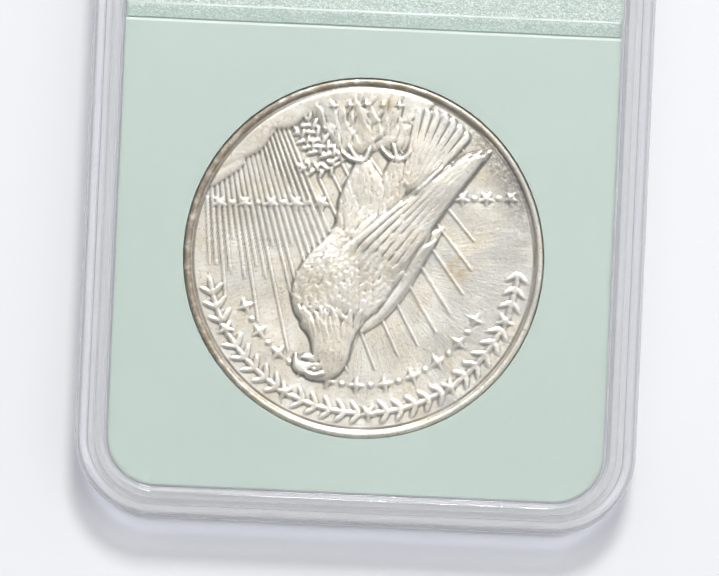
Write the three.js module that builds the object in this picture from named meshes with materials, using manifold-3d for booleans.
// A graded coin slab: a sealed clear case, welded shut, around a pale green tray that holds one large silver coin
// and a label at each face. Millimetres, +Z up, lying on its front face, so that the rear face looks up.
// X runs across the slab, +Y runs towards its label end, and the origin is the middle of the face it lies on.
import * as THREE from "three";
import { mergeVertices } from "three/addons/utils/BufferGeometryUtils.js";
import Module from "manifold-3d";

// The case: two equal shells that meet at mid-thickness.
const WIDTH = 59.4;
const LENGTH = 82.6;
const THICKNESS = 7.5;
const CORNER_RADIUS = 8.6;
const EDGE_RADIUS = 1.0;
const SEAM = 0.1; // the fine groove that shows round the side where the shells meet

// Distances in from the case's outer wall.
const RIM_INSET = 2.8; // the raised rim that slabs stack on
const WALL_INSET = 3.3; // the inside of the side wall
const TRAY_INSET = 3.45;

// Heights, for either face.
const RIM_RISE = 0.8; // the rim above the window
const RIM_SLOPE = 0.4; // how far in the rim's inner slope runs
const WINDOW = 1.35; // the window's thickness
const CAVITY_RADIUS = 0.15;

// The label end of each window stands a little proud, as a rectangle.
const PANEL_RISE = 0.3;
const PANEL_HALF_WIDTH = 26.2;
const PANEL_GAP = 1.6; // from the tray's step to the panel's lower edge
const PANEL_LOW_RADIUS = 0.4;
const PANEL_HIGH_RADIUS = 4.4;

// The rear shell's tongue stands in the front shell's groove, where the two are welded.
const GROOVE = { outer: 1.15, inner: 2.15, depth: 1.2 };
const TONGUE = { outer: 1.3, inner: 2.0, length: 1.05 };

// The coin, and how it lies in the tray.
const COIN_RADIUS = 19.05;
const COIN_THICKNESS = 2.4;
const COIN_RIM_WIDTH = 0.75;
const COIN_FIELD_DEPTH = 0.35;
const COIN_BEVEL = 0.15;
const COIN_FROM_LOWER_EDGE = 28.3;
const COIN_SEGMENTS = 96;

// The tray.
const TRAY_THICKNESS = 2.5;
const BORE_CLEARANCE = 0.08;
const SHELF_FROM_COIN = 24.4; // where the coin's part of the tray ends and the label shelf begins
const SHELF_DEPTH = 0.6; // how far the shelf lies below each face of the tray

// The labels.
const LABEL_THICKNESS = 0.2;
const LABEL_MARGIN = 0.2;
const LABEL_LIFT = 0.03; // the film of glue under a label

const ARC_SEGMENTS = 8;
const MIDDLE = THICKNESS / 2;
const COIN_Y = COIN_FROM_LOWER_EDGE - LENGTH / 2;
const SHELF_Y = COIN_Y + SHELF_FROM_COIN;
const TRAY_END_Y = LENGTH / 2 - TRAY_INSET;
const CAVITY_HALF_HEIGHT = MIDDLE - RIM_RISE - WINDOW;

const wasm = await Module();
wasm.setup();

// A closed three.js geometry as a manifold-3d solid.
function solid(geometry) {
  const bare = geometry.clone();
  bare.deleteAttribute("normal");
  bare.deleteAttribute("uv");
  const merged = mergeVertices(bare, 1e-4);
  return new wasm.Manifold(
    new wasm.Mesh({
      numProp: 3,
      vertProperties: merged.attributes.position.array,
      triVerts: new Uint32Array(merged.index.array),
    }),
  );
}

// A manifold-3d solid as a geometry that three.js draws.
function geometryOf(made) {
  const mesh = made.getMesh();
  const geometry = new THREE.BufferGeometry();
  geometry.setAttribute("position", new THREE.BufferAttribute(mesh.vertProperties, 3));
  geometry.setIndex(new THREE.BufferAttribute(mesh.triVerts, 1));
  geometry.computeVertexNormals();
  return geometry;
}

// A rectangle with rounded corners, as a shape or as a hole in one.
function outline(halfWidth, low, high, lowRadius, highRadius, path = new THREE.Shape()) {
  path.moveTo(-halfWidth + lowRadius, low);
  path.lineTo(halfWidth - lowRadius, low);
  path.absarc(halfWidth - lowRadius, low + lowRadius, lowRadius, -Math.PI / 2, 0, false);
  path.lineTo(halfWidth, high - highRadius);
  path.absarc(halfWidth - highRadius, high - highRadius, highRadius, 0, Math.PI / 2, false);
  path.lineTo(-halfWidth + highRadius, high);
  path.absarc(-halfWidth + highRadius, high - highRadius, highRadius, Math.PI / 2, Math.PI, false);
  path.lineTo(-halfWidth, low + lowRadius);
  path.absarc(-halfWidth + lowRadius, low + lowRadius, lowRadius, Math.PI, 1.5 * Math.PI, false);
  return path;
}

// The case's own outline, moved in from its outer wall.
function caseOutline(inset, path) {
  const halfLength = LENGTH / 2 - inset;
  const radius = CORNER_RADIUS - inset;
  return outline(WIDTH / 2 - inset, -halfLength, halfLength, radius, radius, path);
}

// The band between two of the case's outlines.
function caseRing(outer, inner) {
  const ring = caseOutline(outer);
  ring.holes.push(caseOutline(inner, new THREE.Path()));
  return ring;
}

// A flat plate between two heights. round gives both of its faces an edge that is that far in and that deep.
function plate(shape, low, high, round = null) {
  const geometry = new THREE.ExtrudeGeometry(shape, {
    depth: high - low - (round ? 2 * round.deep : 0),
    curveSegments: ARC_SEGMENTS,
    bevelEnabled: round !== null,
    bevelThickness: round ? round.deep : 0,
    bevelSize: round ? round.wide : 0,
    bevelOffset: round ? -round.wide : 0,
    bevelSegments: round ? round.steps : 0,
  });
  geometry.translate(0, 0, low + (round ? round.deep : 0));
  return solid(geometry);
}

// The same solid, turned over to the slab's other face.
function turnedOver(made) {
  return made.mirror([0, 0, 1]).translate([0, 0, THICKNESS]);
}

// The raised rectangle over the rear label.
function labelPanel() {
  const windowTop = THICKNESS - RIM_RISE;
  const low = SHELF_Y + PANEL_GAP;
  const shape = outline(PANEL_HALF_WIDTH, low, TRAY_END_Y, PANEL_LOW_RADIUS, PANEL_HIGH_RADIUS);
  return plate(shape, windowTop - WINDOW / 2, windowTop + PANEL_RISE);
}

// The whole case with both faces alike, before it is split along the seam.
function wholeCase() {
  const edge = { wide: EDGE_RADIUS, deep: EDGE_RADIUS, steps: 5 };
  const slope = { wide: RIM_SLOPE, deep: RIM_RISE, steps: 3 };
  const cavityEdge = { wide: CAVITY_RADIUS, deep: CAVITY_RADIUS, steps: 3 };
  const block = plate(caseOutline(0), 0, THICKNESS, edge);
  const windowTop = THICKNESS - RIM_RISE;
  const recess = plate(caseOutline(RIM_INSET), windowTop, windowTop + 3 * RIM_RISE, slope);
  const cavityLow = MIDDLE - CAVITY_HALF_HEIGHT;
  const cavityHigh = MIDDLE + CAVITY_HALF_HEIGHT;
  const cavity = plate(caseOutline(WALL_INSET), cavityLow, cavityHigh, cavityEdge);
  return block
    .subtract(recess)
    .subtract(turnedOver(recess))
    .add(labelPanel())
    .add(turnedOver(labelPanel()))
    .subtract(cavity);
}

// The part of a solid between two heights.
function slice(made, low, high) {
  return made.intersect(plate(caseOutline(-1), low, high));
}

function rearShell(whole) {
  const half = slice(whole, MIDDLE + SEAM / 2, THICKNESS + 1);
  const tip = MIDDLE - TONGUE.length;
  return half.add(plate(caseRing(TONGUE.outer, TONGUE.inner), tip, MIDDLE + 2 * SEAM));
}

function frontShell(whole) {
  const half = slice(whole, -1, MIDDLE - SEAM / 2);
  const foot = MIDDLE - GROOVE.depth;
  return half.subtract(plate(caseRing(GROOVE.outer, GROOVE.inner), foot, THICKNESS));
}

// One plate with a round well for the coin and a thinner shelf for the labels.
function coinTray() {
  const low = MIDDLE - TRAY_THICKNESS / 2;
  const high = MIDDLE + TRAY_THICKNESS / 2;
  const boreRadius = COIN_RADIUS + BORE_CLEARANCE;
  const pocketShape = outline(WIDTH, SHELF_Y, LENGTH, 1, 1);
  const pocket = plate(pocketShape, high - SHELF_DEPTH, THICKNESS);
  const boreGeometry = new THREE.CylinderGeometry(boreRadius, boreRadius, THICKNESS, COIN_SEGMENTS);
  boreGeometry.rotateX(Math.PI / 2).translate(0, COIN_Y, MIDDLE);
  return plate(caseOutline(TRAY_INSET), low, high)
    .subtract(pocket)
    .subtract(turnedOver(pocket))
    .subtract(solid(boreGeometry));
}

// A disc with a raised rim on both faces.
function coinGeometry() {
  const half = COIN_THICKNESS / 2;
  const field = half - COIN_FIELD_DEPTH;
  const rimInside = COIN_RADIUS - COIN_BEVEL - COIN_RIM_WIDTH;
  const upperHalf = [
    new THREE.Vector2(COIN_RADIUS, half - COIN_BEVEL),
    new THREE.Vector2(COIN_RADIUS - COIN_BEVEL, half),
    new THREE.Vector2(rimInside, half),
    new THREE.Vector2(rimInside - COIN_FIELD_DEPTH, field),
    new THREE.Vector2(0, field),
  ];
  const lowerHalf = upperHalf.map((p) => new THREE.Vector2(p.x, -p.y)).reverse();
  const geometry = new THREE.LatheGeometry([...lowerHalf, ...upperHalf], COIN_SEGMENTS);
  geometry.rotateX(Math.PI / 2);
  return geometry;
}

// The outline that both labels are cut to.
function labelPlate(low) {
  const halfWidth = WIDTH / 2 - TRAY_INSET - LABEL_MARGIN;
  const high = TRAY_END_Y - LABEL_MARGIN;
  const highRadius = CORNER_RADIUS - TRAY_INSET - LABEL_MARGIN;
  const shape = outline(halfWidth, SHELF_Y + LABEL_MARGIN, high, LABEL_MARGIN, highRadius);
  return plate(shape, low, low + LABEL_THICKNESS);
}

const clearPlastic = new THREE.MeshStandardMaterial({
  color: 0xe9edf0,
  roughness: 0.06,
  metalness: 0,
  transparent: true,
  opacity: 0.25,
});
const greenPlastic = new THREE.MeshStandardMaterial({ color: 0xc5d6cb, roughness: 0.45, metalness: 0 });
const silver = new THREE.MeshStandardMaterial({ color: 0xd8d2c4, roughness: 0.25, metalness: 1 });
const securityPaper = new THREE.MeshStandardMaterial({ color: 0xbccfc4, roughness: 0.4, metalness: 0.1 });
const plainPaper = new THREE.MeshStandardMaterial({ color: 0xdfe6dc, roughness: 0.8, metalness: 0 });

function node(name, geometry, material) {
  const mesh = new THREE.Mesh(geometry, material);
  mesh.name = name;
  return mesh;
}

const slab = new THREE.Group();
const whole = wholeCase();
const shelfTop = MIDDLE + TRAY_THICKNESS / 2 - SHELF_DEPTH;
const rearLabel = labelPlate(shelfTop + LABEL_LIFT);
const coin = node("coin", coinGeometry(), silver);
coin.position.set(0, COIN_Y, MIDDLE);
slab.add(
  node("front_shell", geometryOf(frontShell(whole)), clearPlastic),
  node("rear_shell", geometryOf(rearShell(whole)), clearPlastic),
  node("coin_tray", geometryOf(coinTray()), greenPlastic),
  coin,
  node("rear_label", geometryOf(rearLabel), securityPaper),
  node("front_label", geometryOf(turnedOver(rearLabel)), plainPaper),
);

export default slab;
